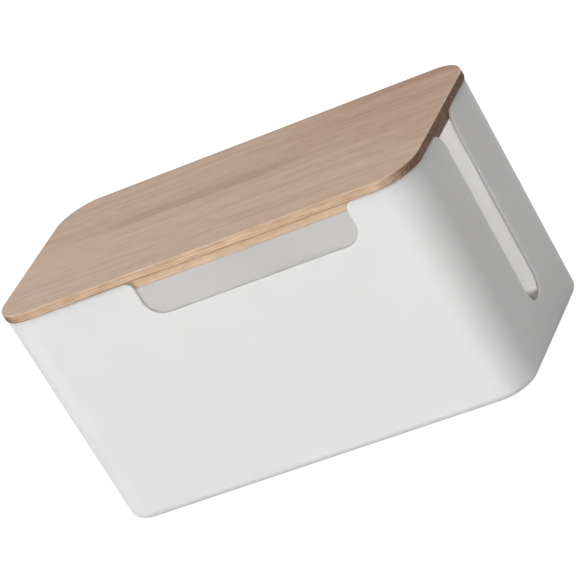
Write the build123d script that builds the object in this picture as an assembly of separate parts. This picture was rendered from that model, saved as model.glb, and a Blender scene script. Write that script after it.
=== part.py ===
from build123d import *
from math import radians, tan
import os

# Cable management box: a drafted plastic shell on four rubber feet, with a wooden lid that lifts off.
# Millimetres. X runs along the length, the front wall faces -Y and Z is up.
# The origin is on the table, under the middle of the box.

# Lid: a top board that covers the shell's rim, and a second board glued under it that drops inside.
LID_LENGTH = 310.0
LID_WIDTH = 150.0
LID_CORNER_RADIUS = 26.0
LID_OVERHANG = 0.8
TOP_BOARD_THICKNESS = 6.0
LOCATING_BOARD_THICKNESS = 7.0
LOCATING_BOARD_CLEARANCE = 0.9
BOARD_EDGE_RADIUS = 0.7

# Shell: open at the top, with walls that lean in towards the base.
SHELL_HEIGHT = 159.0
WALL_THICKNESS = 2.5
FLOOR_THICKNESS = 3.0
DRAFT_ANGLE = 1.0
BASE_EDGE_RADIUS = 5.5
INNER_FLOOR_RADIUS = 3.0
OUTER_RIM_RADIUS = 0.4
INNER_RIM_RADIUS = 0.3

# Notch in the front wall, open at the rim. Its margins run to the lid's two ends.
NOTCH_LEFT_MARGIN = 104.0
NOTCH_RIGHT_MARGIN = 49.0
NOTCH_DEPTH = 28.0
NOTCH_CORNER_RADIUS = 13.0
NOTCH_LIP_RADIUS = 7.0

# Slot in each end wall, open at the rim, with a full-round bottom above a sill.
SLOT_WIDTH = 24.6
SLOT_SILL_HEIGHT = 27.0
SLOT_LIP_RADIUS = 13.0

# Feet: rubber discs seated in round sockets moulded into the underside of the floor.
FOOT_DIAMETER = 14.0
FOOT_PROTRUSION = 1.0
FOOT_SOCKET_DEPTH = 1.0
FOOT_SOCKET_CLEARANCE = 0.2
FOOT_EDGE_RADIUS = 0.4
FOOT_INSET = 20.0

# A point nearer than this to a face lies on it.
ON_FACE = 0.001

base_z = FOOT_PROTRUSION
floor_z = base_z + FLOOR_THICKNESS
rim_z = base_z + SHELL_HEIGHT
draft_slope = tan(radians(DRAFT_ANGLE))
base_inset = LID_OVERHANG + SHELL_HEIGHT * draft_slope
foot_x = LID_LENGTH / 2 - base_inset - FOOT_INSET
foot_y = LID_WIDTH / 2 - base_inset - FOOT_INSET
foot_centres = {
    "foot_front_left": (-foot_x, -foot_y),
    "foot_front_right": (foot_x, -foot_y),
    "foot_rear_left": (-foot_x, foot_y),
    "foot_rear_right": (foot_x, foot_y),
}


def lid_outline(inset):
    """The lid's plan outline, moved in by inset all round."""
    length = LID_LENGTH - 2 * inset
    width = LID_WIDTH - 2 * inset
    return RectangleRounded(length, width, LID_CORNER_RADIUS - inset)


def drafted_block(wall_inset, bottom_z, bottom_edge_radius):
    """The outer walls' form moved in by wall_inset, from bottom_z up to the rim."""
    inset = LID_OVERHANG + wall_inset + (rim_z - bottom_z) * draft_slope
    outline = Pos(0, 0, bottom_z) * lid_outline(inset)
    block = extrude(outline, rim_z - bottom_z, taper=-DRAFT_ANGLE)
    return fillet(block.edges().group_by(Axis.Z)[0], bottom_edge_radius)


def rim_opening(width, depth, corner_radius, lip_radius):
    """Profile of an opening cut down from the rim: rounded lips, straight sides, rounded corners.

    The rim is the profile's X axis, and the opening is centred on its Y axis.
    """
    side_x = width / 2
    lip_x = side_x + lip_radius
    with BuildLine() as half:
        lip = JernArc((lip_x, 0), (-1, 0), lip_radius, 90)
        side = Line(lip @ 1, (side_x, corner_radius - depth))
        corner = JernArc(side @ 1, (0, -1), corner_radius, -90)
        if corner_radius < side_x:
            Line(corner @ 1, (0, -depth))
        above_lip = Line(lip @ 0, (lip_x, lip_radius))
        Line(above_lip @ 1, (0, lip_radius))
    return make_face(half.line + mirror(half.line, Plane.YZ))


def opening_reach(depth):
    """How far an opening's cut runs in from the lid's outline, to pass the leaning wall by one wall more."""
    return LID_OVERHANG + depth * draft_slope + 2 * WALL_THICKNESS


def build_notch():
    """The space that the front notch takes out of the front wall."""
    width = LID_LENGTH - NOTCH_LEFT_MARGIN - NOTCH_RIGHT_MARGIN
    centre_x = (NOTCH_LEFT_MARGIN - NOTCH_RIGHT_MARGIN) / 2
    profile = rim_opening(width, NOTCH_DEPTH, NOTCH_CORNER_RADIUS, NOTCH_LIP_RADIUS)
    front_y = -LID_WIDTH / 2
    return Pos(centre_x, front_y, rim_z) * extrude(Plane.XZ * profile, -opening_reach(NOTCH_DEPTH))


def build_slots():
    """The spaces that the slots take out of the left and right end walls."""
    depth = SHELL_HEIGHT - SLOT_SILL_HEIGHT
    profile = rim_opening(SLOT_WIDTH, depth, SLOT_WIDTH / 2, SLOT_LIP_RADIUS)
    left_slot = Pos(-LID_LENGTH / 2, 0, rim_z) * extrude(Plane.YZ * profile, opening_reach(depth))
    return left_slot, mirror(left_slot, Plane.YZ)


def foot_disc(radius, bottom_z, top_z):
    """A flat disc on each foot's centre, as a dictionary by foot name."""
    height = top_z - bottom_z
    middle_z = (bottom_z + top_z) / 2
    return {name: Pos(x, y, middle_z) * Cylinder(radius, height) for name, (x, y) in foot_centres.items()}


def outline_edges(block, opened):
    """The edges of the opened block round its rim and its openings, on the block's side walls."""
    walls = block.faces().filter_by(lambda face: face.center().Z < rim_z)
    own_edges = block.edges()

    def on_wall(point):
        return any(wall.distance_to(point) < ON_FACE for wall in walls)

    def in_outline(edge):
        middle = edge @ 0.5
        return on_wall(middle) and (middle.Z > rim_z - ON_FACE or edge not in own_edges)

    return opened.edges().filter_by(in_outline)


def build_shell():
    """The shell: its rim and openings are blunted on both sides, a little more outside."""
    block = drafted_block(0, base_z, BASE_EDGE_RADIUS)
    opened = block - build_notch()
    for slot in build_slots():
        opened = opened - slot
    rounded = fillet(outline_edges(block, opened), OUTER_RIM_RADIUS)

    cavity = drafted_block(WALL_THICKNESS, floor_z, INNER_FLOOR_RADIUS)
    hollow = rounded - cavity
    shell = fillet(new_edges(rounded, cavity, combined=hollow), INNER_RIM_RADIUS)

    socket_radius = FOOT_DIAMETER / 2 + FOOT_SOCKET_CLEARANCE
    for socket in foot_disc(socket_radius, 0, base_z + FOOT_SOCKET_DEPTH).values():
        shell = shell - socket
    return shell


def build_top_board():
    board = extrude(Pos(0, 0, rim_z) * lid_outline(0), TOP_BOARD_THICKNESS)
    layers = board.edges().group_by(Axis.Z)
    return fillet(layers[0] + layers[-1], BOARD_EDGE_RADIUS)


def build_locating_board():
    """The board inside the rim. Its clearance to the leaning walls is measured at its lower face."""
    wall_lean = LOCATING_BOARD_THICKNESS * draft_slope
    inset = LID_OVERHANG + WALL_THICKNESS + wall_lean + LOCATING_BOARD_CLEARANCE
    bottom_z = rim_z - LOCATING_BOARD_THICKNESS
    board = extrude(Pos(0, 0, bottom_z) * lid_outline(inset), LOCATING_BOARD_THICKNESS)
    return fillet(board.edges().group_by(Axis.Z)[0], BOARD_EDGE_RADIUS)


def build_feet():
    discs = foot_disc(FOOT_DIAMETER / 2, 0, base_z + FOOT_SOCKET_DEPTH)
    return {name: fillet(disc.edges().group_by(Axis.Z)[0], FOOT_EDGE_RADIUS) for name, disc in discs.items()}


parts = {
    "box_shell": build_shell(),
    "lid_top_board": build_top_board(),
    "lid_locating_board": build_locating_board(),
}
parts.update(build_feet())

os.makedirs("parts", exist_ok=True)
for name, solid in parts.items():
    solid.label = name
    export_step(solid, f"parts/{name}.step")
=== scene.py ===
"""Looks of the cable management box: wood, plastic and rubber in a white studio."""
from math import cos, pi, radians, sin

import bpy
from mathutils import Matrix, Vector


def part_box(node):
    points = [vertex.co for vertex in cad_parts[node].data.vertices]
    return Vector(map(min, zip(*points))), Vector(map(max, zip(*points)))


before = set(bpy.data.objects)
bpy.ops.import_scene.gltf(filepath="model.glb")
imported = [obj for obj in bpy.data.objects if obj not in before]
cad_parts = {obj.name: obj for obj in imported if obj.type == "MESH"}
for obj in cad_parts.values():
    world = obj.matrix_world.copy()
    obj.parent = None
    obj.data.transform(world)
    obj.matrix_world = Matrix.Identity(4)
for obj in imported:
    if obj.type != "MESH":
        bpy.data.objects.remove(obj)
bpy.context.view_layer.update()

# Lengths are in metres, unless a name says otherwise. Angles are in degrees and colours linear.

# Camera: where it stands round the box, and how it is held.
CAMERA_AZIMUTH = 29.92
CAMERA_ELEVATION = 19.33
CAMERA_ROLL = 30.62
CAMERA_DISTANCE = 2.4762
CAMERA_TARGET = Vector((-0.0136, 0.0259, 0.0803))
CAMERA_LENS_MM = 242.33
SENSOR_WIDTH_MM = 36.0

# Studio.
AMBIENT_COLOR = (0.21, 0.21, 0.21)
BACK_COLOR = (1.0, 0.97, 0.93)
FLOOR_SIZE = 30.0
FLOOR_COLOR = (0.50, 0.50, 0.50)
FLOOR_FILL = 0.82
WHITE = (1.0, 1.0, 1.0)

# Wood: the log that the boards were sawn from, and how far its grain wanders along X, Y and Z.
PITH_DEPTH = 0.3
RING_SPACING = 0.0017
LOG_TAPER = 0.0022
GRAIN_WANDER = (0.0, 0.016, 0.0016)

# Wood: the most that each layer of the grain adds to the share of the dark colour.
LATE_WOOD_ON_FACE = 0.45
BAND_DARKNESS = 0.25
STREAK_DARKNESS = 0.24
MOTTLE_DARKNESS = 0.24
FIBRE_DARKNESS = 0.16

# Wood: what goes over the grain. A tint multiplies the colour under it.
PORE_COLOR = (0.12, 0.07, 0.045)
PORE_SHARE = 0.10
SPECK_SHARE = 0.7
END_GRAIN_TINT = (0.46, 0.40, 0.385)
# Painted highlight: a lighter colour on the upper rounded edges of the boards, standing in for the
# light they catch from above.
ARRIS_HIGHLIGHT_COLOR = (0.86, 0.74, 0.63)
ARRIS_HIGHLIGHT_SHARE = 0.35
RELIEF = 0.6

# Top board: its face in pale sapwood and browner heartwood, and its edge.
SAPWOOD_LIGHT = (0.545, 0.404, 0.311)
SAPWOOD_DARK = (0.405, 0.283, 0.208)
HEARTWOOD_LIGHT = (0.480, 0.330, 0.228)
HEARTWOOD_DARK = (0.320, 0.198, 0.127)
EDGE_LIGHT = (0.71, 0.51, 0.355)
EDGE_DARK = (0.30, 0.175, 0.10)
BOARD_END_X = 0.155
HEARTWOOD_AT_BACK = 0.42
HEARTWOOD_AT_RIGHT_END = 0.62
DARK_BAND_SHARE = 0.45
STRIPE_TINT = (0.78, 0.62, 0.60)
BACK_STRIPE_SHARE = 0.75
MIDDLE_STRIPE_SHARE = 0.2

# A side of a patch that lies past the board's edge.
OPEN_SIDE = (0.30, 0.20)

LOCATING_LIGHT = (0.80, 0.61, 0.44)
LOCATING_DARK = (0.48, 0.32, 0.20)

# How far light scatters inside the plastic.
PLASTIC_SCATTER = 0.010

# The mix node's sockets for colours, which share their names with its other sockets.
MIX_FIRST = 6
MIX_SECOND = 7
MIX_RESULT = 2


class Graph:
    """A material's node tree, with short calls to add nodes and link what they read."""

    def __init__(self, name):
        self.material = bpy.data.materials.new(name)
        self.material.use_nodes = True
        self.tree = self.material.node_tree
        self.tree.nodes.clear()

    def add(self, kind, inputs=None, **settings):
        """A new node of this kind, with these inputs fed and these properties set."""
        node = self.tree.nodes.new(kind)
        for name, value in settings.items():
            setattr(node, name, value)
        for key, value in (inputs or {}).items():
            self.feed(node.inputs[key], value)
        return node

    def feed(self, socket, value):
        """Link the socket if value is a socket, and set it if value is a constant."""
        if isinstance(value, bpy.types.NodeSocket):
            self.tree.links.new(value, socket)
        elif socket.type == "RGBA" and len(value) == 3:
            socket.default_value = (*value, 1.0)
        else:
            socket.default_value = value

    def math(self, operation, first, second=0.0, third=0.0, clamp=False):
        inputs = {0: first, 1: second, 2: third}
        return self.add("ShaderNodeMath", inputs, operation=operation, use_clamp=clamp).outputs[0]

    def vector(self, operation, first, second):
        inputs = {0: first, 1: second}
        return self.add("ShaderNodeVectorMath", inputs, operation=operation).outputs[0]

    def noise(self, position, scales, detail=2.0, roughness=0.5, output="Fac"):
        """Noise with its own number of features per metre along X, Y and Z."""
        place = self.vector("MULTIPLY", position, scales)
        inputs = {"Vector": place, "Scale": 1.0, "Detail": detail, "Roughness": roughness}
        return self.add("ShaderNodeTexNoise", inputs).outputs[output]

    def span(self, value, low, high, to_low=0.0, to_high=1.0):
        """value eased from low..high to to_low..to_high, and held at both ends."""
        inputs = {
            "Value": value,
            "From Min": low,
            "From Max": high,
            "To Min": to_low,
            "To Max": to_high,
        }
        node = self.add("ShaderNodeMapRange", inputs, interpolation_type="SMOOTHSTEP")
        return node.outputs["Result"]

    def mix(self, factor, first, second, blend="MIX"):
        node = self.add("ShaderNodeMix", data_type="RGBA", blend_type=blend)
        self.feed(node.inputs["Factor"], factor)
        self.feed(node.inputs[MIX_FIRST], first)
        self.feed(node.inputs[MIX_SECOND], second)
        return node.outputs[MIX_RESULT]

    def bump(self, height, strength, depth):
        inputs = {"Height": height, "Strength": strength, "Distance": depth}
        return self.add("ShaderNodeBump", inputs).outputs["Normal"]

    def finish(self, shader):
        self.add("ShaderNodeOutputMaterial", {"Surface": shader})
        return self.material


class Wood:
    """Solid wood with its grain along X: rings, streaks, fibres and pores at each point of a board.

    The pith lies PITH_DEPTH under the board's face, below the line y = heart_y, so that the rings
    graze the face there and cross the board's front edge as thin lines.
    """

    def __init__(self, name, face_z, heart_y, seed):
        self.graph = graph = Graph(name)
        place = graph.add("ShaderNodeTexCoord").outputs
        position = place["Object"]
        grown = graph.vector("ADD", position, seed)

        # Which way the surface faces: the arris is the rounded edge between the face and the sides,
        # and its upper part gets a painted highlight.
        facing = graph.add("ShaderNodeSeparateXYZ", {0: place["Normal"]}).outputs
        self.end_grain = graph.span(graph.math("ABSOLUTE", facing["X"]), 0.10, 0.95)
        self.upward = graph.span(facing["Z"], 0.55, 0.98)
        off_side = graph.span(facing["Z"], 0.05, 0.45)
        off_face = graph.span(facing["Z"], 0.98, 0.75)
        self.arris = graph.math("MULTIPLY", off_side, off_face)

        drift_scales = (9.0, 30.0, 30.0)
        drift = graph.noise(grown, drift_scales, detail=4.0, roughness=0.6, output="Color")
        drift = graph.vector("SUBTRACT", drift, (0.5, 0.5, 0.5))
        bent = graph.vector("ADD", position, graph.vector("MULTIPLY", drift, GRAIN_WANDER))
        bent_axes = graph.add("ShaderNodeSeparateXYZ", {0: bent}).outputs
        self.x, self.y = bent_axes["X"], bent_axes["Y"]

        from_pith = graph.vector("SUBTRACT", bent, (0.0, heart_y, face_z - PITH_DEPTH))
        across = graph.vector("MULTIPLY", from_pith, (0.0, 1.0, 1.0))
        length = graph.add("ShaderNodeVectorMath", {0: across}, operation="LENGTH")
        radius = graph.math("MULTIPLY_ADD", self.x, -LOG_TAPER, length.outputs["Value"])

        # Each ring darkens outwards into its late wood and ends sharply, some more than others.
        rings = graph.math("DIVIDE", radius, RING_SPACING)
        ring = graph.math("FRACT", rings)
        ring_number = graph.math("FLOOR", rings)
        rank = graph.add("ShaderNodeTexWhiteNoise", {"W": ring_number}, noise_dimensions="1D")
        sharpness = graph.span(self.upward, 0.0, 1.0, 1.6, 3.0)
        ring_depth = graph.span(rank.outputs["Value"], 0.0, 1.0, 0.3, 1.0)
        grazing = graph.math("SUBTRACT", radius, PITH_DEPTH)
        late_wood = graph.math("POWER", ring, sharpness)
        late_wood = graph.math("MULTIPLY", late_wood, graph.span(ring, 1.0, 0.90))
        late_wood = graph.math("MULTIPLY", late_wood, ring_depth)
        past_heart = graph.span(grazing, 0.0, RING_SPACING, 0.2, 1.0)
        self.late_wood = graph.math("MULTIPLY", late_wood, past_heart)

        self.band = graph.noise(grown, (4.0, 34.0, 34.0), detail=3.0)
        self.streak = graph.noise(grown, (10.0, 260.0, 260.0), detail=3.0, roughness=0.6)
        self.fibre = graph.noise(grown, (60.0, 900.0, 900.0), roughness=0.6)
        self.mottle = graph.noise(grown, (60.0, 120.0, 120.0), detail=3.0, roughness=0.7)
        pore = graph.noise(grown, (110.0, 1500.0, 1500.0), detail=1.0)
        self.pore = graph.span(pore, 0.52, 0.62)
        speck = graph.noise(grown, (650.0, 650.0, 650.0), roughness=0.6)
        self.speck = graph.span(speck, 0.44, 0.60)

    def darkness(self):
        """Share of the dark colour at each point, from the grain alone."""
        graph = self.graph
        ring_share = graph.span(self.upward, 0.0, 1.0, 1.0, LATE_WOOD_ON_FACE)
        total = graph.math("MULTIPLY", self.late_wood, ring_share)
        band = graph.span(self.band, 0.35, 0.68, to_high=BAND_DARKNESS)
        streak = graph.span(self.streak, 0.35, 0.70, to_high=STREAK_DARKNESS)
        mottle = graph.span(self.mottle, 0.35, 0.70, to_high=MOTTLE_DARKNESS)
        fibre = graph.span(self.fibre, 0.40, 0.72, to_high=FIBRE_DARKNESS)
        for layer in (band, streak, mottle):
            total = graph.math("ADD", total, layer)
        return graph.math("ADD", total, fibre, clamp=True)

    def patch(self, left, right, front, back):
        """A soft patch on the face. Each side says where it fades out and where it is full."""
        graph = self.graph
        along = graph.math("MULTIPLY", graph.span(self.x, *left), graph.span(self.x, *right))
        across = graph.math("MULTIPLY", graph.span(self.y, *front), graph.span(self.y, *back))
        return graph.math("MULTIPLY", along, across)

    def finish(self, color):
        """The material with this colour on its long grain, darker and speckled on its end grain,
        with a painted highlight on its upper rounded edges.
        """
        graph = self.graph
        color = graph.mix(graph.math("MULTIPLY", self.pore, PORE_SHARE), color, PORE_COLOR)
        color = graph.mix(self.end_grain, color, END_GRAIN_TINT, blend="MULTIPLY")
        speck_share = graph.math("MULTIPLY", self.end_grain, SPECK_SHARE)
        color = graph.mix(graph.math("MULTIPLY", self.speck, speck_share), color, PORE_COLOR)
        # Painted highlight: the upper rounded edges are lightened, as if lit from above.
        color = graph.mix(graph.math("MULTIPLY", self.arris, ARRIS_HIGHLIGHT_SHARE), color, ARRIS_HIGHLIGHT_COLOR)
        raised = graph.math("MULTIPLY", self.fibre, RELIEF)
        height = graph.math("MULTIPLY_ADD", self.pore, -RELIEF, raised)
        shader = graph.add("ShaderNodeBsdfPrincipled", {
            "Base Color": color,
            "Roughness": graph.span(self.streak, 0.3, 0.7, 0.50, 0.62),
            "Normal": graph.bump(height, 0.25, 0.00015),
            "IOR": 1.45,
            "Specular IOR Level": 0.25,
        })
        return graph.finish(shader.outputs[0])


def lid_wood_material(name, face_z):
    """Top board: sapwood in front and heartwood behind, with a dark band and two red stripes."""
    wood = Wood(name, face_z, heart_y=0.013, seed=(1.3, 0.9, 0.0))
    graph = wood.graph
    heart_line = graph.math("ADD", wood.y, graph.span(wood.x, 0.06, 0.14, -0.013, 0.020))
    at_back = graph.math("MULTIPLY", graph.span(heart_line, -0.018, 0.018), HEARTWOOD_AT_BACK)
    to_right = graph.span(wood.x, -BOARD_END_X, BOARD_END_X, to_high=HEARTWOOD_AT_RIGHT_END)
    heart = graph.math("ADD", at_back, to_right, clamp=True)

    dark_band = wood.patch(
        left=(-0.115, -0.070), right=(0.080, 0.005), front=(0.0040, 0.0075), back=(0.0270, 0.0150))
    grain = wood.darkness()
    darkness = graph.math("MULTIPLY_ADD", dark_band, DARK_BAND_SHARE, grain, clamp=True)
    light = graph.mix(heart, SAPWOOD_LIGHT, HEARTWOOD_LIGHT)
    dark = graph.mix(heart, SAPWOOD_DARK, HEARTWOOD_DARK)
    face = graph.mix(darkness, light, dark)
    edge = graph.mix(darkness, EDGE_LIGHT, EDGE_DARK)
    color = graph.mix(wood.upward, edge, face)

    back_stripe = wood.patch(
        left=(0.0, 0.11), right=OPEN_SIDE, front=(0.058, 0.066), back=OPEN_SIDE)
    middle_stripe = wood.patch(
        left=(0.0, 0.08), right=OPEN_SIDE, front=(0.033, 0.040), back=(0.051, 0.045))
    red = graph.math("MULTIPLY", middle_stripe, MIDDLE_STRIPE_SHARE)
    red = graph.math("MULTIPLY_ADD", back_stripe, BACK_STRIPE_SHARE, red, clamp=True)
    color = graph.mix(red, color, STRIPE_TINT, blend="MULTIPLY")
    return wood.finish(color)


def locating_wood_material(name, face_z):
    """Locating board: even, slightly redder wood."""
    wood = Wood(name, face_z, heart_y=-0.020, seed=(0.7, 0.3, 0.9))
    return wood.finish(wood.graph.mix(wood.darkness(), LOCATING_LIGHT, LOCATING_DARK))


def plastic_material(name):
    """Matt white moulding, slightly translucent, with a very fine texture."""
    graph = Graph(name)
    position = graph.add("ShaderNodeTexCoord").outputs["Object"]
    cloud = graph.noise(position, (14.0, 14.0, 14.0))
    texture = graph.noise(position, (1400.0, 1400.0, 1400.0), roughness=0.7)
    cloud_share = graph.span(cloud, 0.3, 0.7)
    shader = graph.add("ShaderNodeBsdfPrincipled", {
        "Base Color": graph.mix(cloud_share, (0.87, 0.87, 0.868), (0.89, 0.89, 0.888)),
        "Roughness": graph.span(cloud, 0.3, 0.7, 0.48, 0.56),
        "Normal": graph.bump(texture, 0.12, 0.0001),
        "IOR": 1.5,
        "Subsurface Weight": 1.0,
        "Subsurface Radius": (1.0, 1.0, 1.0),
        "Subsurface Scale": PLASTIC_SCATTER,
    })
    return graph.finish(shader.outputs[0])


def rubber_material(name):
    """Matt grey rubber with a faint bloom."""
    graph = Graph(name)
    position = graph.add("ShaderNodeTexCoord").outputs["Object"]
    bloom = graph.noise(position, (260.0, 260.0, 260.0), detail=3.0)
    texture = graph.noise(position, (2600.0, 2600.0, 2600.0))
    bloom_share = graph.span(bloom, 0.35, 0.7)
    shader = graph.add("ShaderNodeBsdfPrincipled", {
        "Base Color": graph.mix(bloom_share, (0.24, 0.24, 0.24), (0.33, 0.33, 0.325)),
        "Roughness": graph.span(bloom, 0.3, 0.7, 0.62, 0.8),
        "Normal": graph.bump(texture, 0.2, 0.0001),
    })
    return graph.finish(shader.outputs[0])


def floor_material(name):
    """Floor: to the camera, a fill lifts its lit part to white and leaves the shadow on it."""
    graph = Graph(name)
    camera_ray = graph.add("ShaderNodeLightPath").outputs["Is Camera Ray"]
    fill = graph.math("MULTIPLY", camera_ray, FLOOR_FILL)
    glow = graph.add("ShaderNodeEmission", {"Color": WHITE, "Strength": fill}).outputs[0]
    matt = graph.add("ShaderNodeBsdfDiffuse", {"Color": FLOOR_COLOR}).outputs[0]
    return graph.finish(graph.add("ShaderNodeAddShader", {0: matt, 1: glow}).outputs[0])


def dress(nodes, material):
    """Give the CAD nodes of these names this one material."""
    for name in nodes:
        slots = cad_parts[name].data.materials
        slots.clear()
        slots.append(material)


def add_floor():
    half = FLOOR_SIZE / 2
    mesh = bpy.data.meshes.new("floor")
    corners = [(-half, -half, 0.0), (half, -half, 0.0), (half, half, 0.0), (-half, half, 0.0)]
    mesh.from_pydata(corners, [], [(0, 1, 2, 3)])
    mesh.materials.append(floor_material("studio_floor"))
    floor = bpy.data.objects.new("floor", mesh)
    bpy.context.scene.collection.objects.link(floor)


def direction(azimuth, elevation):
    """Unit vector from the box. Azimuth 0 is in front of it, and 90 past its right end."""
    turn, rise = radians(azimuth), radians(elevation)
    return Vector((sin(turn) * cos(rise), -cos(turn) * cos(rise), sin(rise)))


def add_sun(name, azimuth, elevation, strength, width, color=WHITE):
    """A sun, width degrees across.

    A strength of 1 lights a white surface that faces it to white.
    """
    light = bpy.data.lights.new(name, "SUN")
    light.energy = strength * pi
    light.angle = radians(width)
    light.color = color
    lamp = bpy.data.objects.new(name, light)
    lamp.rotation_euler = direction(azimuth, elevation).to_track_quat("Z", "Y").to_euler()
    bpy.context.scene.collection.objects.link(lamp)


def add_softbox(name, azimuth, elevation, distance, strength, width):
    """A round softbox that faces the object. Its strength is as a sun's, at the object."""
    light = bpy.data.lights.new(name, "AREA")
    light.shape = "DISK"
    light.size = width
    light.energy = strength * (pi * distance) ** 2
    towards = direction(azimuth, elevation)
    lamp = bpy.data.objects.new(name, light)
    lamp.location = CAMERA_TARGET + towards * distance
    lamp.rotation_euler = towards.to_track_quat("Z", "Y").to_euler()
    lamp.visible_camera = False
    bpy.context.scene.collection.objects.link(lamp)


def add_world():
    """A world that is white to the camera and in reflections, and AMBIENT_COLOR as a light."""
    world = bpy.data.worlds.new("studio")
    world.use_nodes = True
    tree = world.node_tree
    tree.nodes.clear()
    rays = tree.nodes.new("ShaderNodeLightPath").outputs
    seen = tree.nodes.new("ShaderNodeMath")
    seen.operation = "MAXIMUM"
    tree.links.new(rays["Is Camera Ray"], seen.inputs[0])
    tree.links.new(rays["Is Glossy Ray"], seen.inputs[1])
    ambient = tree.nodes.new("ShaderNodeBackground")
    ambient.inputs["Color"].default_value = (*AMBIENT_COLOR, 1.0)
    backdrop = tree.nodes.new("ShaderNodeBackground")
    backdrop.inputs["Color"].default_value = (*WHITE, 1.0)
    choice = tree.nodes.new("ShaderNodeMixShader")
    tree.links.new(seen.outputs[0], choice.inputs[0])
    tree.links.new(ambient.outputs[0], choice.inputs[1])
    tree.links.new(backdrop.outputs[0], choice.inputs[2])
    output = tree.nodes.new("ShaderNodeOutputWorld")
    tree.links.new(choice.outputs[0], output.inputs["Surface"])
    bpy.context.scene.world = world


def add_camera():
    back = direction(CAMERA_AZIMUTH, CAMERA_ELEVATION)
    turn, roll = radians(CAMERA_AZIMUTH), radians(CAMERA_ROLL)
    level_right = Vector((cos(turn), sin(turn), 0.0))
    level_up = back.cross(level_right)
    right = level_right * cos(roll) - level_up * sin(roll)
    up = level_up * cos(roll) + level_right * sin(roll)
    axes = Matrix((right, up, back)).transposed().to_4x4()
    camera_data = bpy.data.cameras.new("camera")
    camera_data.sensor_width = SENSOR_WIDTH_MM
    camera_data.lens = CAMERA_LENS_MM
    camera_data.clip_end = 2 * FLOOR_SIZE
    camera = bpy.data.objects.new("camera", camera_data)
    camera.matrix_world = Matrix.Translation(CAMERA_TARGET + back * CAMERA_DISTANCE) @ axes
    bpy.context.scene.collection.objects.link(camera)
    bpy.context.scene.camera = camera


bpy.context.scene.view_settings.view_transform = "Standard"
add_camera()
add_world()
add_floor()

# The key is a small softbox at the camera. The back lamp lights the inside through the rear wall.
add_softbox("key", CAMERA_AZIMUTH, CAMERA_ELEVATION, CAMERA_DISTANCE, strength=0.30, width=0.035)
add_softbox("left_fill", azimuth=-30.0, elevation=22.0, distance=3.5, strength=0.625, width=3.2)
add_sun("top_fill", azimuth=-20.0, elevation=65.0, strength=0.23, width=25.0)
add_sun("back", azimuth=180.0, elevation=15.0, strength=0.80, width=20.0, color=BACK_COLOR)

rim_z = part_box("lid_top_board")[0][2]
lid_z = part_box("lid_top_board")[1][2]
dress(["lid_top_board"], lid_wood_material("oiled_wood", lid_z))
dress(["lid_locating_board"], locating_wood_material("sanded_wood", rim_z))
dress(["box_shell"], plastic_material("white_plastic"))
feet = [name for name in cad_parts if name.startswith("foot_")]
dress(feet, rubber_material("grey_rubber"))
